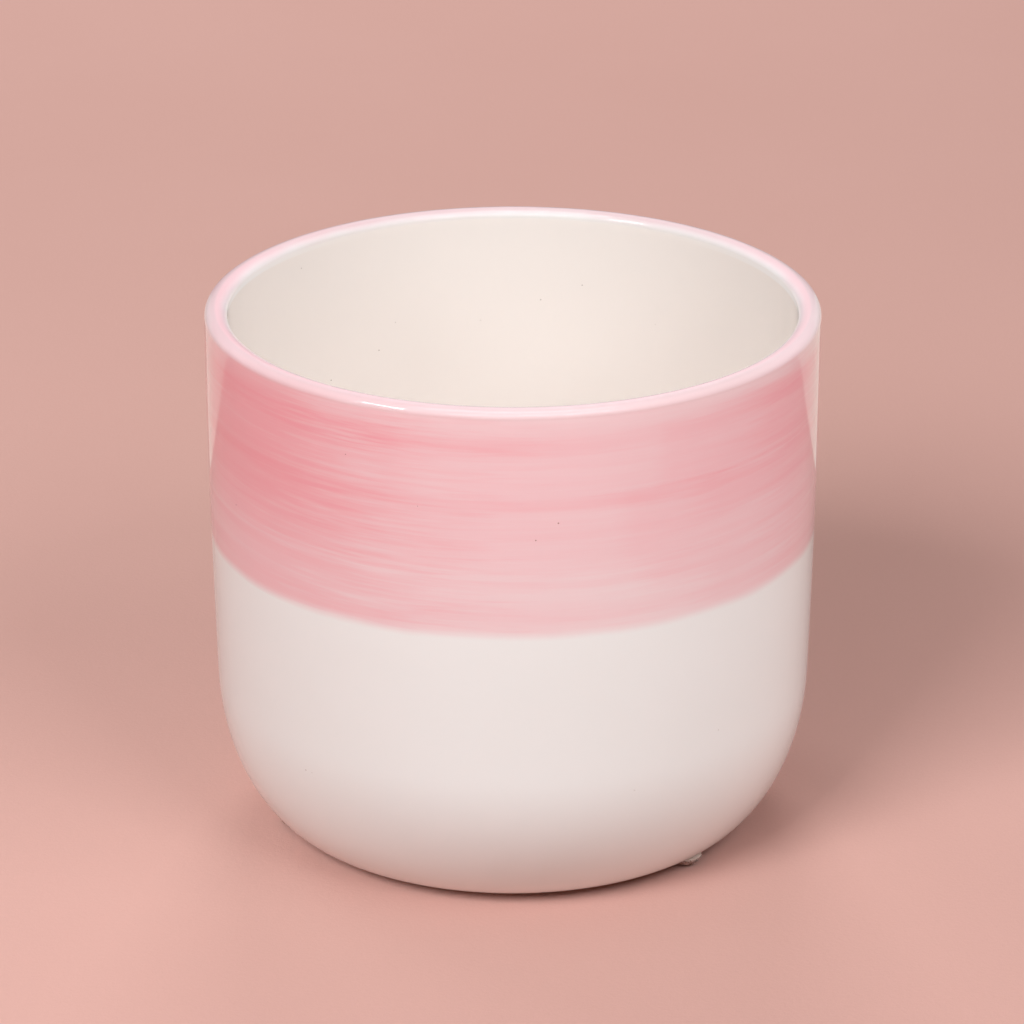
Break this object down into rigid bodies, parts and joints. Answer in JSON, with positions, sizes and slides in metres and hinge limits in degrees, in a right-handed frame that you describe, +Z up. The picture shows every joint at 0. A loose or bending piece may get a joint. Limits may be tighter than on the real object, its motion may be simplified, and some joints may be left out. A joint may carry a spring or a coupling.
{
  "type": "plant pot",
  "caption": "Round glazed ceramic plant pot with a full belly, a rounded lip, a brushed colour band round its upper half and clear domed bumpers under a closed base.",
  "frame": {"origin": "on the table, under the middle of the pot, at the foot of its bumpers", "axes": "+Z up along the pot's axis; -Y is the side that faces the viewer in the picture, with +X to the right"},
  "size_m": [0.14, 0.14, 0.1245],
  "materials": {
    "white_glaze": "warm white, fired glossy, faint pooling and pinholes",
    "pink_glaze": "pink brushed on in level strokes under a clear gloss, paler at its lower edge and over the lip",
    "clear_bumper": "clear soft polyurethane, satin, slightly dusty",
    "adhesive_film": "milky pressure-sensitive film"
  },
  "bodies": {
    "root": {"pot_body": "white_glaze", "pink_glaze_band": "pink_glaze", "foot_pad_1": "clear_bumper", "foot_pad_2": "clear_bumper", "foot_pad_3": "clear_bumper", "foot_pad_1_adhesive": "adhesive_film", "foot_pad_2_adhesive": "adhesive_film", "foot_pad_3_adhesive": "adhesive_film"}
  },
  "joints": []
}
